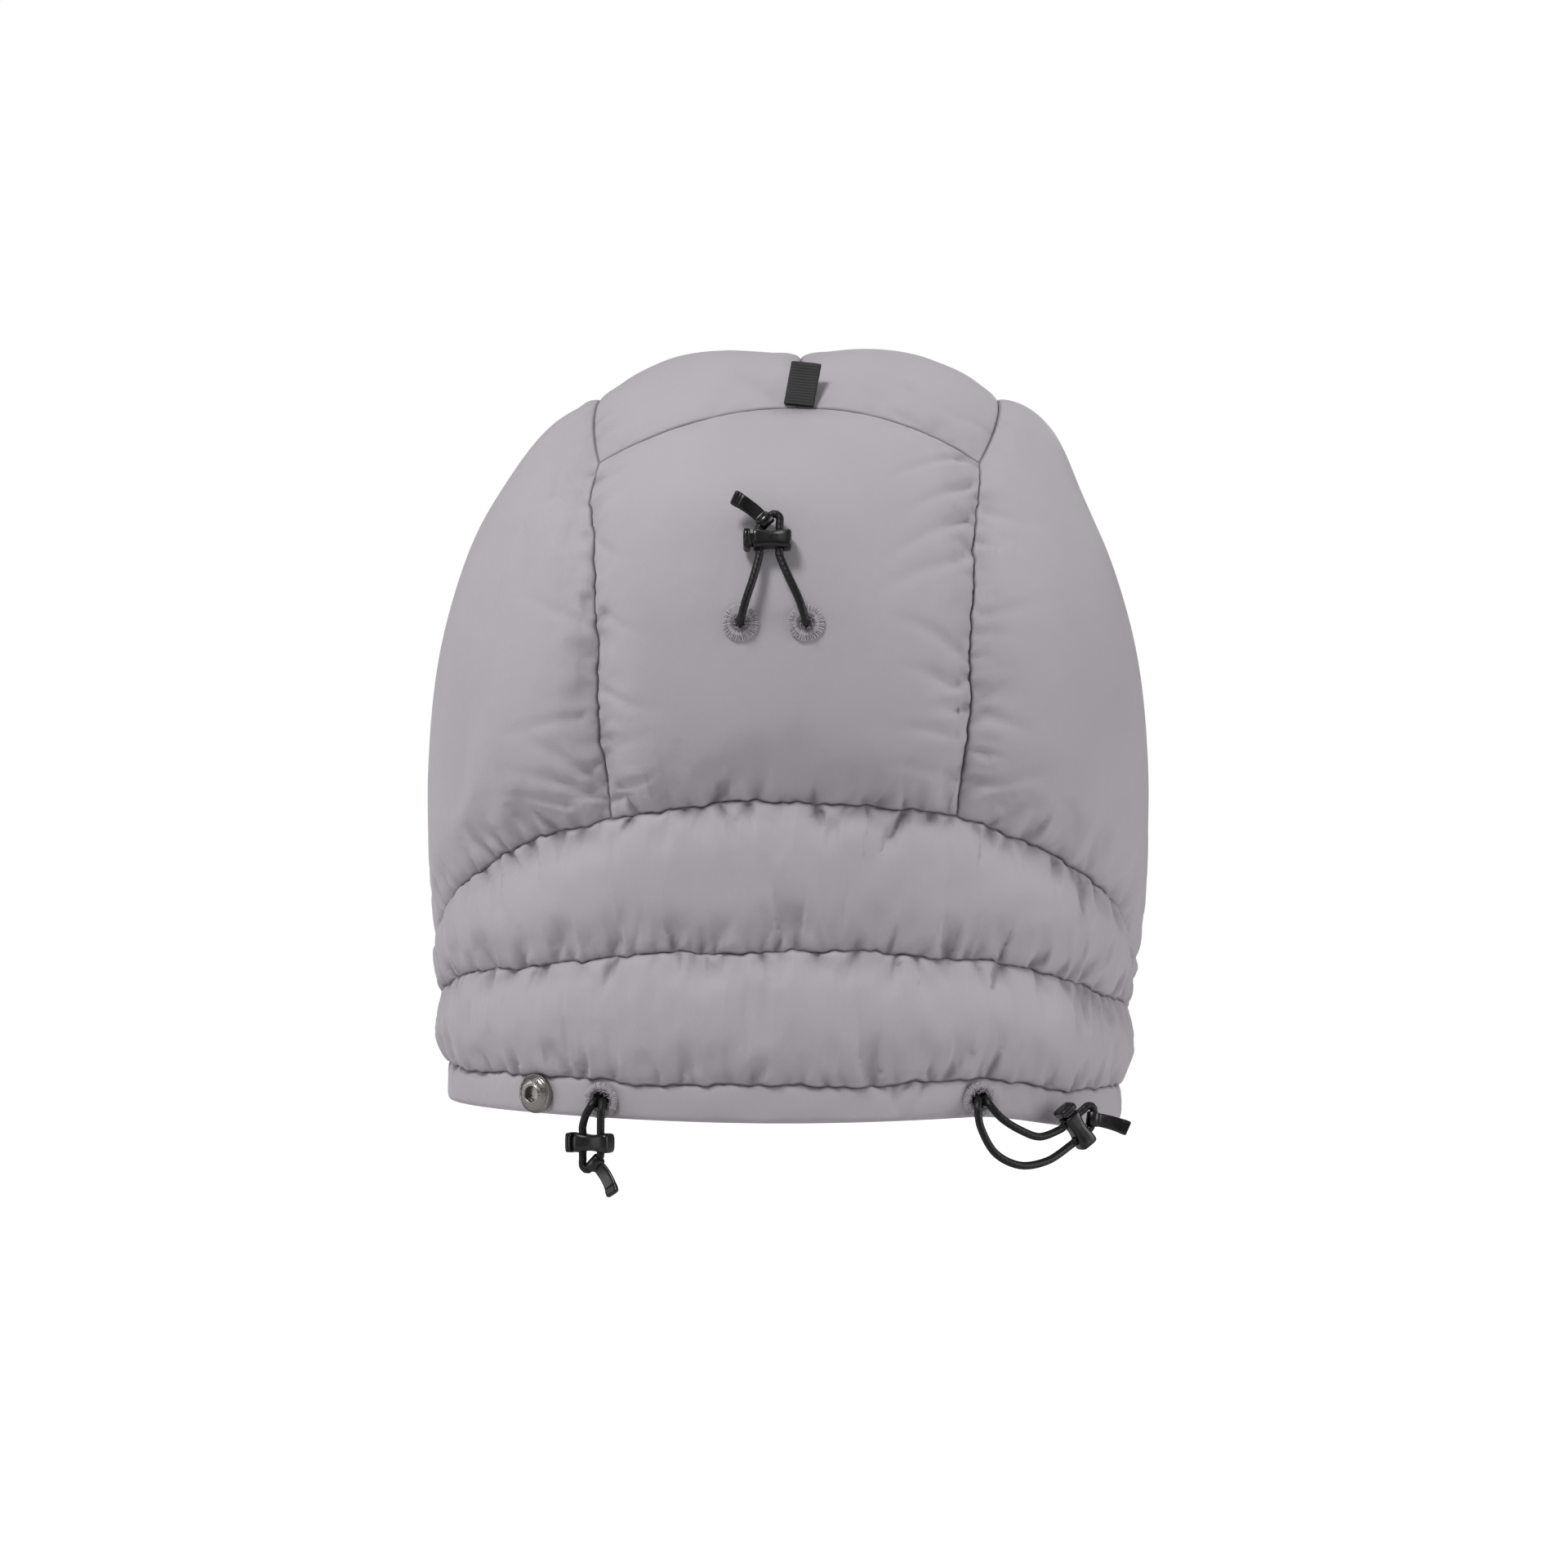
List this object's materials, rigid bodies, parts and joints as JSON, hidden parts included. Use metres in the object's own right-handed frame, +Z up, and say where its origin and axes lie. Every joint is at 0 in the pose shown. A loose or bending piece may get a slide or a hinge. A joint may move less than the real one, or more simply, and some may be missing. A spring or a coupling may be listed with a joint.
{
  "type": "quilted hood",
  "caption": "Insulated quilted hood with puffed panels, drawcord hem, back adjuster, sprung cord locks, snap socket and hanging loop.",
  "frame": {"origin": "head seat: where the top of the wearer's head meets the crown lining, on the hood's middle plane", "axes": "+Z up, +Y the way the wearer faces (out of the face opening), +X to the wearer's right"},
  "size_m": [0.2818, 0.2305, 0.3234],
  "materials": {
    "shell_nylon": "matte grey nylon taffeta, fine plain weave",
    "lining_nylon": "matte grey nylon taffeta",
    "insulation": "white synthetic batt",
    "embroidery_thread": "light grey satin stitch",
    "webbing": "black ribbed grosgrain",
    "elastic_cord": "black braided cover over elastic core",
    "black_acetal": "semi-matte moulded black acetal",
    "spring_steel": "bright drawn wire",
    "gunmetal": "gunmetal plated, polished"
  },
  "bodies": {
    "root": {"adjuster_elastic_left": "elastic_cord", "adjuster_elastic_right": "elastic_cord", "cord_loop_back": "elastic_cord", "cord_loop_hem_left": "elastic_cord", "cord_loop_hem_right": "elastic_cord", "eyelet_back_left": "embroidery_thread", "eyelet_back_right": "embroidery_thread", "eyelet_hem_left": "embroidery_thread", "eyelet_hem_right": "embroidery_thread", "face_binding": "shell_nylon", "fill_back_centre": "insulation", "fill_collar_baffle": "insulation", "fill_crown_left": "insulation", "fill_crown_right": "insulation", "fill_nape_baffle": "insulation", "fill_side_left": "insulation", "fill_side_right": "insulation", "hem_channel": "shell_nylon", "hem_elastic_back": "elastic_cord", "hem_elastic_left": "elastic_cord", "hem_elastic_right": "elastic_cord", "lining_back_centre": "lining_nylon", "lining_collar_baffle": "lining_nylon", "lining_crown_left": "lining_nylon", "lining_crown_right": "lining_nylon", "lining_nape_baffle": "lining_nylon", "lining_side_left": "lining_nylon", "lining_side_right": "lining_nylon", "shell_back_centre": "shell_nylon", "shell_collar_baffle": "shell_nylon", "shell_crown_left": "shell_nylon", "shell_crown_right": "shell_nylon", "shell_nape_baffle": "shell_nylon", "shell_side_left": "shell_nylon", "shell_side_right": "shell_nylon", "snap_rivet": "gunmetal", "snap_socket": "gunmetal", "snap_spring": "spring_steel"},
    "back_lock": {"lock_body_back": "black_acetal", "lock_spring_back": "spring_steel"},
    "back_button": {"lock_button_back": "black_acetal"},
    "back_tab": {"pull_tab_back": "black_acetal"},
    "hem_left_lock": {"lock_body_hem_left": "black_acetal", "lock_spring_hem_left": "spring_steel"},
    "hem_left_button": {"lock_button_hem_left": "black_acetal"},
    "hem_left_tab": {"pull_tab_hem_left": "black_acetal"},
    "hem_right_lock": {"lock_body_hem_right": "black_acetal", "lock_spring_hem_right": "spring_steel"},
    "hem_right_button": {"lock_button_hem_right": "black_acetal"},
    "hem_right_tab": {"pull_tab_hem_right": "black_acetal"},
    "hang_loop": {"hang_loop": "webbing"}
  },
  "joints": [
    {"name": "back_lock_slide", "type": "slide", "parent": "root", "child": "back_lock", "axis": [0, 0.2756, 0.9613], "range_m": [-0.008, 0.012], "stiffness_N_per_m": 25, "deforming": ["cord_loop_back"]},
    {"name": "back_button_press", "type": "slide", "parent": "back_lock", "child": "back_button", "axis": [1, 0, 0], "range_m": [0, 0.0011], "stiffness_N_per_m": 2500, "springref_m": -0.001, "deforming": ["lock_spring_back"]},
    {"name": "back_tab_swing", "type": "hinge", "parent": "back_lock", "child": "back_tab", "pos_m": [-0.00703, -0.12489, -0.06092], "axis": [0.7071, 0.1949, 0.6797], "range_deg": [-8, 70], "deforming": ["cord_loop_back"]},
    {"name": "hem_left_lock_slide", "type": "slide", "parent": "root", "child": "hem_left_lock", "axis": [0, 0, -1], "range_m": [-0.002, 0.012], "stiffness_N_per_m": 25, "deforming": ["cord_loop_hem_left"]},
    {"name": "hem_left_button_press", "type": "slide", "parent": "hem_left_lock", "child": "hem_left_button", "axis": [0.8988, -0.4384, 0], "range_m": [0, 0.0011], "stiffness_N_per_m": 2500, "springref_m": -0.001, "deforming": ["lock_spring_hem_left"]},
    {"name": "hem_left_tab_swing", "type": "hinge", "parent": "hem_left_lock", "child": "hem_left_tab", "pos_m": [-0.07078, -0.10071, -0.30092], "axis": [-0.6355, 0.31, -0.7071], "range_deg": [-20, 80], "deforming": ["cord_loop_hem_left"]},
    {"name": "hem_right_lock_slide", "type": "slide", "parent": "root", "child": "hem_right_lock", "axis": [0.7271, 0.3546, 0.5878], "range_m": [-0.003, 0.01], "stiffness_N_per_m": 25, "deforming": ["cord_loop_hem_right"]},
    {"name": "hem_right_button_press", "type": "slide", "parent": "hem_right_lock", "child": "hem_right_button", "axis": [0.5283, 0.2577, -0.809], "range_m": [0, 0.0011], "stiffness_N_per_m": 2500, "springref_m": -0.001, "deforming": ["lock_spring_hem_right"]},
    {"name": "hem_right_tab_swing", "type": "hinge", "parent": "hem_right_lock", "child": "hem_right_tab", "pos_m": [0.11715, -0.07533, -0.28589], "axis": [-0.1406, -0.0686, -0.9877], "range_deg": [-25, 80], "deforming": ["cord_loop_hem_right"]},
    {"name": "hang_loop_flip", "type": "hinge", "parent": "root", "child": "hang_loop", "pos_m": [0.00551, -0.07883, -0.01554], "axis": [0.9821, -0.1504, -0.113], "range_deg": [0, 110]}
  ]
}
